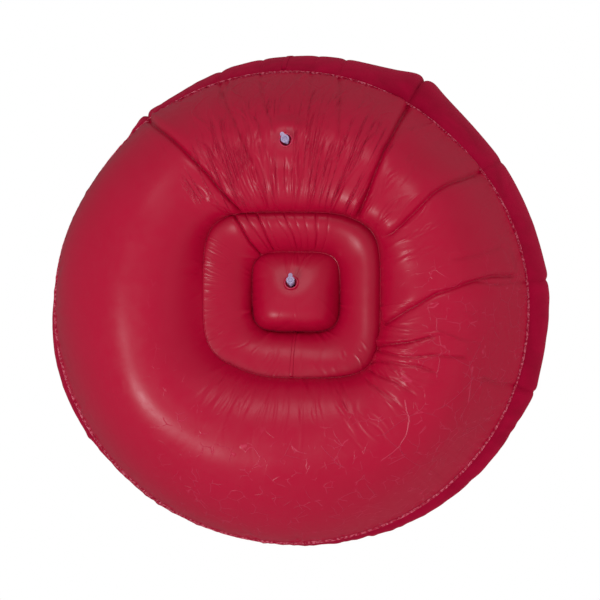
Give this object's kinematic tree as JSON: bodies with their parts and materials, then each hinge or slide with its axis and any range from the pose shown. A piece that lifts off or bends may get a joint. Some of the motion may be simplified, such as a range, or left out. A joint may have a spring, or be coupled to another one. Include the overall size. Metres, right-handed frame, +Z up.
{
  "type": "inflatable bean bag chair",
  "caption": "Round inflatable lounge chair in the shape of a bean bag, with a high back, a dished seat, a glossy underside with a square well, and plugged air valves.",
  "frame": {"origin": "on the ground, under the middle of the chair's bounding box", "axes": "+Z up, +Y towards the back rest, -Y towards the front edge, +X towards the sitter's left arm rest"},
  "size_m": [1.0731, 1.0534, 0.69],
  "materials": {
    "vinyl": "glossy soft crimson vinyl film",
    "flocked": "matte crimson flocked vinyl",
    "valve_pvc": "clear soft plastic, slightly violet"
  },
  "bodies": {
    "chair": {"bottom_panel": "vinyl", "side_wall": "flocked", "top_panel": "flocked", "well_wall": "vinyl", "chamber_partition": "vinyl", "seat_bottom_panel": "vinyl", "seat_top_panel": "flocked", "perimeter_weld": "vinyl", "rim_weld": "flocked", "well_mouth_weld": "vinyl", "well_floor_weld": "vinyl", "seat_weld": "vinyl", "side_wall_joint": "flocked", "well_wall_joint": "vinyl", "main_valve_flange": "valve_pvc", "seat_valve_flange": "valve_pvc"},
    "main_stem": {"main_valve_stem": "valve_pvc"},
    "main_plug": {"main_valve_plug": "valve_pvc", "main_valve_tether": "valve_pvc"},
    "main_flap": {"main_valve_flap": "valve_pvc"},
    "seat_stem": {"seat_valve_stem": "valve_pvc"},
    "seat_plug": {"seat_valve_plug": "valve_pvc", "seat_valve_tether": "valve_pvc"},
    "seat_flap": {"seat_valve_flap": "valve_pvc"}
  },
  "joints": [
    {"name": "main_stem_push", "type": "slide", "parent": "chair", "child": "main_stem", "axis": [0.0026, -0.175, 0.9846], "range_m": [0, 0.01]},
    {"name": "main_plug_pull", "type": "slide", "parent": "main_stem", "child": "main_plug", "axis": [-0.0026, 0.175, -0.9846], "range_m": [0, 0.012], "deforming": ["main_valve_tether"]},
    {"name": "main_flap_open", "type": "hinge", "parent": "main_stem", "child": "main_flap", "pos_m": [-0.00029, 0.34422, 0.04762], "axis": [-0.8625, 0.4979, 0.0908], "range_deg": [0, 60], "stiffness_Nm_per_rad": 0.0002},
    {"name": "seat_stem_push", "type": "slide", "parent": "chair", "child": "seat_stem", "axis": [0, -0.4067, 0.9135], "range_m": [0, 0.01]},
    {"name": "seat_plug_pull", "type": "slide", "parent": "seat_stem", "child": "seat_plug", "axis": [0, 0.4067, -0.9135], "range_m": [0, 0.012], "deforming": ["seat_valve_tether"]},
    {"name": "seat_flap_open", "type": "hinge", "parent": "seat_stem", "child": "seat_flap", "pos_m": [-0.00579, 0.05083, 0.11987], "axis": [-0.9993, 0.0349, 0.0155], "range_deg": [0, 60], "stiffness_Nm_per_rad": 0.0002}
  ]
}
